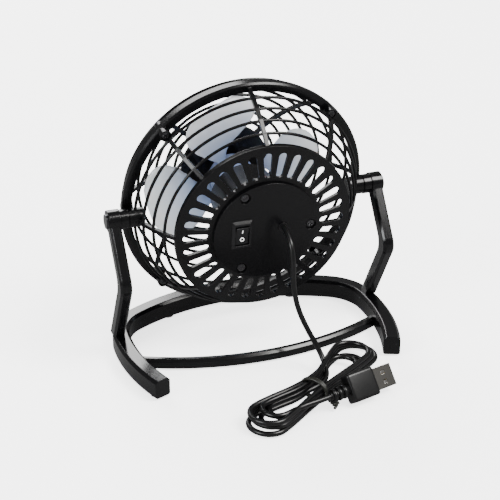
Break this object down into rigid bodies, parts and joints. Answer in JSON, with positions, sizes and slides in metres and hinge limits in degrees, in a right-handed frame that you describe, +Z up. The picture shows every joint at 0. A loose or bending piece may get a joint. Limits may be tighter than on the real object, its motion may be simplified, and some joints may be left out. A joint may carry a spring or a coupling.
{
  "type": "small desk fan",
  "caption": "Small round desk fan on a bent tilting stand, with a spinning impeller in a wire-like cage, a rear rocker switch and a tied cord with a charger plug.",
  "frame": {"origin": "under the middle of the stand, on the desk", "axes": "+Z up, -Y the way the fan blows, +Y towards the cord, +X to the left when the switch is looked at"},
  "size_m": [0.1618, 0.1555, 0.153],
  "materials": {
    "frame_black": "fine grained black",
    "stand_black": "semi gloss black",
    "screw_steel": "zinc plated",
    "foot_rubber": "matte",
    "blade_plastic": "milky translucent",
    "motor_steel": "plated",
    "motor_plastic": "moulded",
    "bush_bronze": "sintered bronze",
    "magnet_ferrite": "dark ferrite",
    "copper": "enamelled copper",
    "switch_plastic": "moulded black",
    "terminal_brass": "plain",
    "cord_rubber": "soft satin black",
    "tie_plastic": "dark olive grey",
    "plug_nickel": "nickel plated",
    "tongue_plastic": "white"
  },
  "bodies": {
    "stand": {"base_frame": "stand_black", "rear_crossbar": "stand_black", "left_arm": "stand_black", "right_arm": "stand_black", "friction_collars": "stand_black", "pivot_pins": "screw_steel", "arm_screws": "screw_steel", "foot_pads": "foot_rubber", "cord_drop": "cord_rubber", "cord_hank": "cord_rubber", "cord_tail": "cord_rubber", "twist_tie": "tie_plastic", "plug_body": "cord_rubber", "plug_shell": "plug_nickel", "plug_tongue": "tongue_plastic", "plug_contacts": "terminal_brass", "plug_relief": "cord_rubber"},
    "head": {"rear_cage": "frame_black", "rear_cover": "frame_black", "cover_screws": "screw_steel", "front_grille": "frame_black", "grille_badge": "frame_black", "grille_screws": "screw_steel", "motor_housing": "frame_black", "motor_can": "motor_steel", "motor_end_cap": "motor_plastic", "front_bush": "bush_bronze", "rear_bush": "bush_bronze", "motor_magnets": "magnet_ferrite", "motor_brushes": "magnet_ferrite", "motor_screws": "screw_steel", "switch_body": "switch_plastic", "switch_terminals": "terminal_brass", "cord_grommet": "cord_rubber", "cord_clamp": "motor_plastic"},
    "fan": {"motor_shaft": "screw_steel", "armature_core": "motor_steel", "armature_windings": "copper", "commutator": "copper", "impeller": "blade_plastic"},
    "rocker": {"switch_rocker": "switch_plastic"}
  },
  "joints": [
    {"name": "head_tilt", "type": "hinge", "parent": "stand", "child": "head", "pos_m": [0, -0.00649, 0.0824], "axis": [1, 0, 0], "range_deg": [-60, 35], "deforming": ["cord_drop"]},
    {"name": "fan_spin", "type": "hinge", "parent": "head", "child": "fan", "pos_m": [0, -0.00649, 0.0824], "axis": [0, 0.9906, -0.1366], "continuous": true},
    {"name": "rocker_press", "type": "hinge", "parent": "head", "child": "rocker", "pos_m": [0.014, 0.02451, 0.07812], "axis": [1, 0, 0], "range_deg": [0, 14]}
  ]
}
